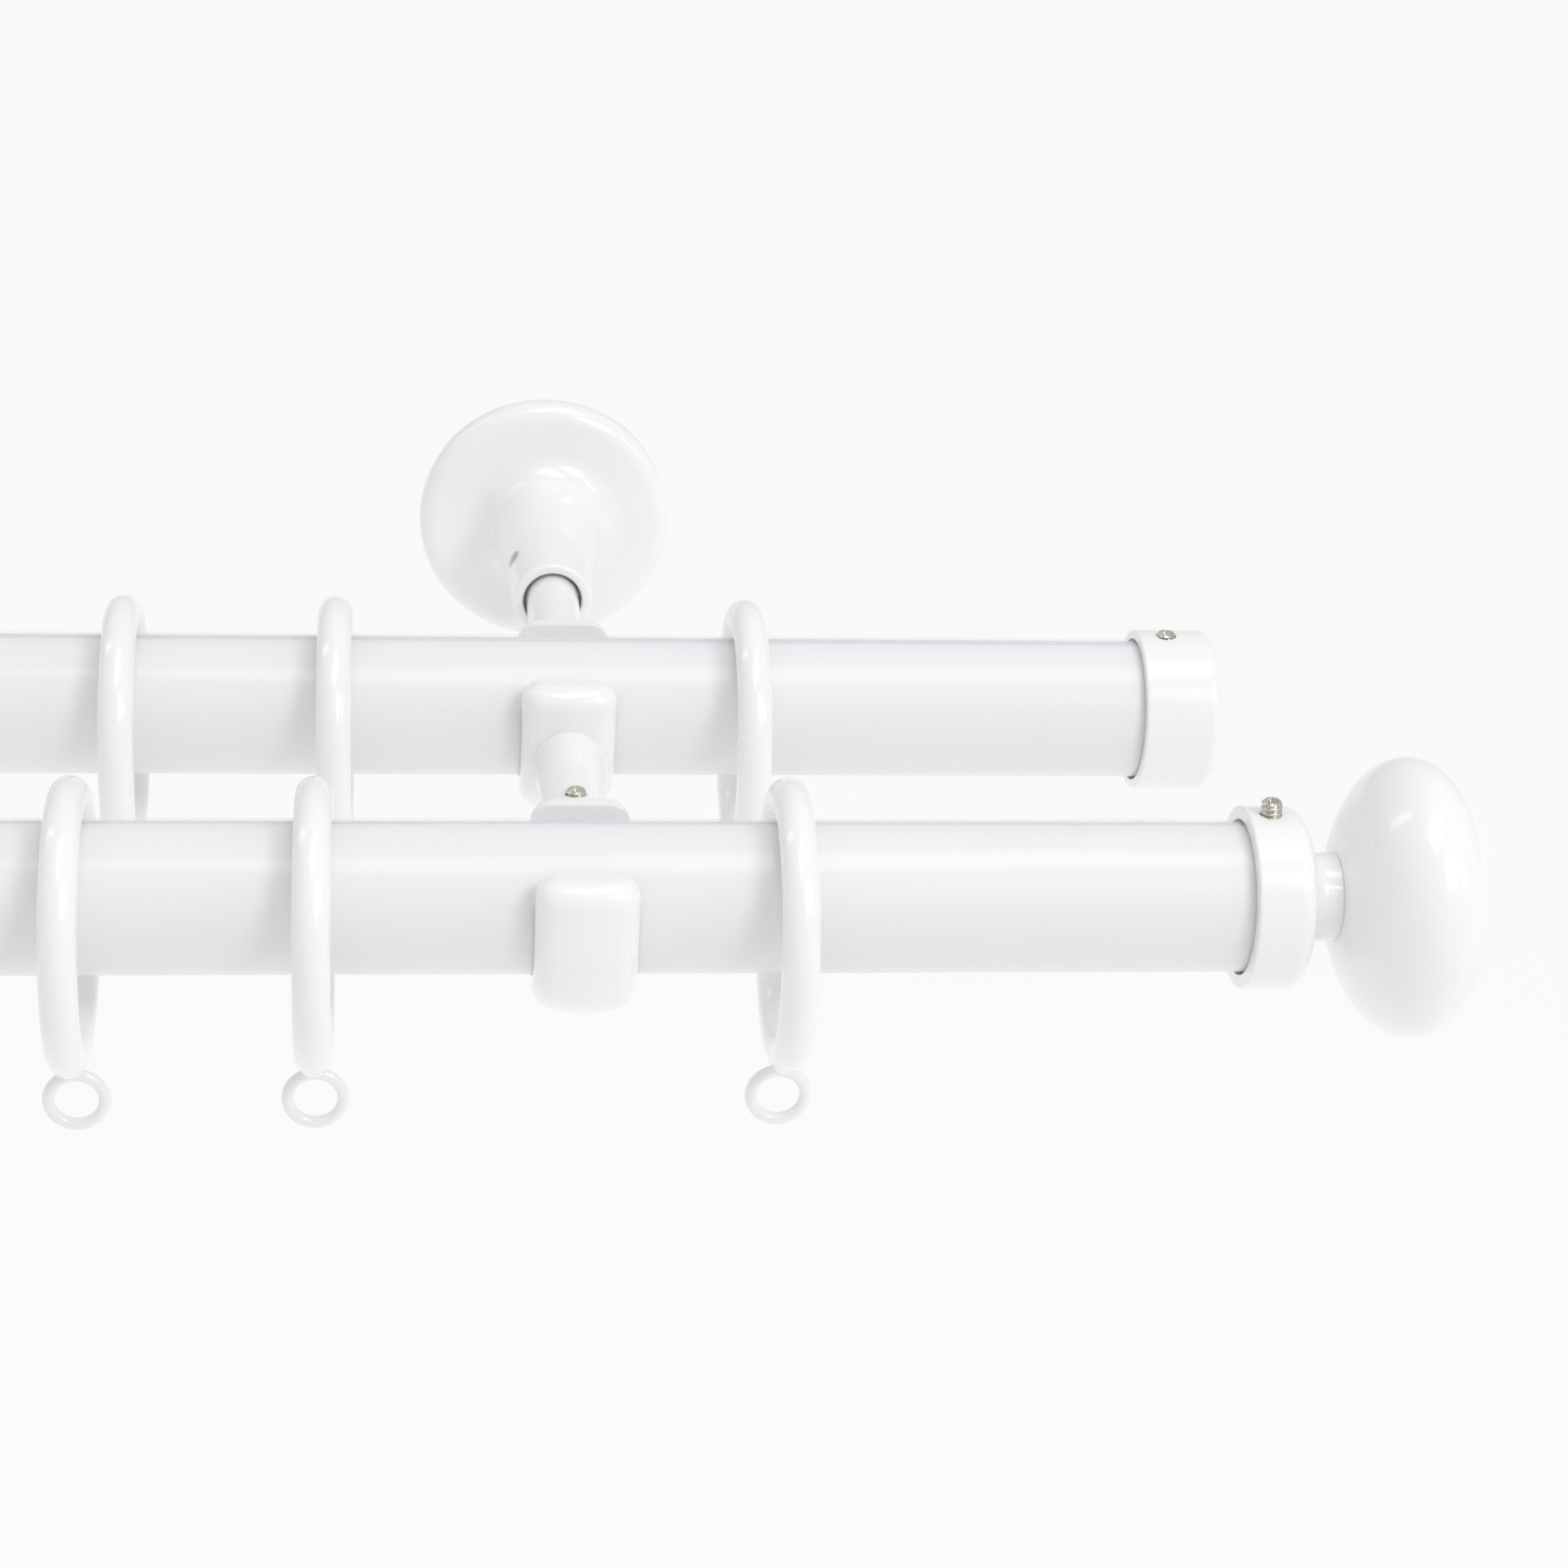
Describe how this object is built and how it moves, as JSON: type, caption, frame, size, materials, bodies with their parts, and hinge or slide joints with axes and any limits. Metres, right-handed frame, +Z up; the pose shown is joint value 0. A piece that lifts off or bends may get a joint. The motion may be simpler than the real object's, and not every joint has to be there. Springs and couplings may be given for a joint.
{
  "type": "curtain rod with brackets",
  "caption": "Double curtain rod set: wall roses with adjustable arms, open-topped rod holders, knob finials, end caps, and curtain rings with eyelets.",
  "frame": {"origin": "on the wall plane, at the centre of the pattern of wall screws, midway between the brackets and level with the front rod", "axes": "+X along the rods to the right as seen from the room, +Y into the wall, +Z up"},
  "size_m": [1.08, 0.2255, 0.0772],
  "materials": {
    "white_enamel": "glossy baked enamel",
    "rod_enamel": "semi-gloss powder coat",
    "clear_strip": "clear soft vinyl",
    "nickel": "nickel plated",
    "zinc_plate": "zinc plated"
  },
  "bodies": {
    "wall_fixings": {"wall_plate_left": "zinc_plate", "rose_left": "white_enamel", "rose_screw_left": "nickel", "wall_plate_right": "zinc_plate", "rose_right": "white_enamel", "rose_screw_right": "nickel"},
    "bracket_arms": {"rear_holder_left": "white_enamel", "socket_screw_left": "nickel", "rear_holder_right": "white_enamel", "socket_screw_right": "nickel"},
    "front_arms": {"front_holder_left": "white_enamel", "front_holder_right": "white_enamel"},
    "back_rod": {"back_rod": "rod_enamel", "back_glide_strip": "clear_strip", "end_cap_left": "white_enamel", "end_cap_screw_left": "nickel", "end_cap_right": "white_enamel", "end_cap_screw_right": "nickel"},
    "front_rod": {"front_rod": "rod_enamel", "front_glide_strip": "clear_strip", "finial_collar_left": "white_enamel", "finial_screw_left": "nickel", "finial_knob_left": "white_enamel", "finial_stud_left": "nickel", "finial_collar_right": "white_enamel", "finial_screw_right": "nickel", "finial_knob_right": "white_enamel", "finial_stud_right": "nickel"},
    "front_ring_left_1": {"front_ring_left_1": "white_enamel", "front_eyelet_left_1": "white_enamel"},
    "front_ring_left_2": {"front_ring_left_2": "white_enamel", "front_eyelet_left_2": "white_enamel"},
    "front_ring_left_3": {"front_ring_left_3": "white_enamel", "front_eyelet_left_3": "white_enamel"},
    "back_ring_left_1": {"back_ring_left_1": "white_enamel", "back_eyelet_left_1": "white_enamel"},
    "back_ring_left_2": {"back_ring_left_2": "white_enamel", "back_eyelet_left_2": "white_enamel"},
    "back_ring_left_3": {"back_ring_left_3": "white_enamel", "back_eyelet_left_3": "white_enamel"},
    "front_ring_right_1": {"front_ring_right_1": "white_enamel", "front_eyelet_right_1": "white_enamel"},
    "front_ring_right_2": {"front_ring_right_2": "white_enamel", "front_eyelet_right_2": "white_enamel"},
    "front_ring_right_3": {"front_ring_right_3": "white_enamel", "front_eyelet_right_3": "white_enamel"},
    "back_ring_right_1": {"back_ring_right_1": "white_enamel", "back_eyelet_right_1": "white_enamel"},
    "back_ring_right_2": {"back_ring_right_2": "white_enamel", "back_eyelet_right_2": "white_enamel"},
    "back_ring_right_3": {"back_ring_right_3": "white_enamel", "back_eyelet_right_3": "white_enamel"}
  },
  "joints": [
    {"name": "arm_projection", "type": "slide", "parent": "wall_fixings", "child": "bracket_arms", "axis": [0, -1, 0], "range_m": [-0.007, 0.016]},
    {"name": "front_arm_projection", "type": "slide", "parent": "bracket_arms", "child": "front_arms", "axis": [0, -1, 0], "range_m": [-0.0035, 0.014]},
    {"name": "back_rod_lift", "type": "slide", "parent": "bracket_arms", "child": "back_rod", "axis": [0, 0, 1], "range_m": [0, 0.03]},
    {"name": "front_rod_lift", "type": "slide", "parent": "front_arms", "child": "front_rod", "axis": [0, 0, 1], "range_m": [0, 0.03]},
    {"name": "front_ring_left_1_slide", "type": "slide", "parent": "front_rod", "child": "front_ring_left_1", "axis": [1, 0, 0], "range_m": [-0.01515, 0.27015]},
    {"name": "front_ring_left_2_slide", "type": "slide", "parent": "front_rod", "child": "front_ring_left_2", "axis": [1, 0, 0], "range_m": [-0.03275, 0.01515]},
    {"name": "front_ring_left_3_slide", "type": "slide", "parent": "front_rod", "child": "front_ring_left_3", "axis": [1, 0, 0], "range_m": [-0.08085, 0.02175]},
    {"name": "back_ring_left_1_slide", "type": "slide", "parent": "back_rod", "child": "back_ring_left_1", "axis": [1, 0, 0], "range_m": [-0.01425, 0.27445]},
    {"name": "back_ring_left_2_slide", "type": "slide", "parent": "back_rod", "child": "back_ring_left_2", "axis": [1, 0, 0], "range_m": [-0.03025, 0.01425]},
    {"name": "back_ring_left_3_slide", "type": "slide", "parent": "back_rod", "child": "back_ring_left_3", "axis": [1, 0, 0], "range_m": [-0.07665, 0.02055]},
    {"name": "front_ring_right_1_slide", "type": "slide", "parent": "front_rod", "child": "front_ring_right_1", "axis": [1, 0, 0], "range_m": [-0.27015, 0.01515]},
    {"name": "front_ring_right_2_slide", "type": "slide", "parent": "front_rod", "child": "front_ring_right_2", "axis": [1, 0, 0], "range_m": [-0.01515, 0.03275]},
    {"name": "front_ring_right_3_slide", "type": "slide", "parent": "front_rod", "child": "front_ring_right_3", "axis": [1, 0, 0], "range_m": [-0.02175, 0.08085]},
    {"name": "back_ring_right_1_slide", "type": "slide", "parent": "back_rod", "child": "back_ring_right_1", "axis": [1, 0, 0], "range_m": [-0.27445, 0.01425]},
    {"name": "back_ring_right_2_slide", "type": "slide", "parent": "back_rod", "child": "back_ring_right_2", "axis": [1, 0, 0], "range_m": [-0.01425, 0.03025]},
    {"name": "back_ring_right_3_slide", "type": "slide", "parent": "back_rod", "child": "back_ring_right_3", "axis": [1, 0, 0], "range_m": [-0.02055, 0.07665]}
  ]
}
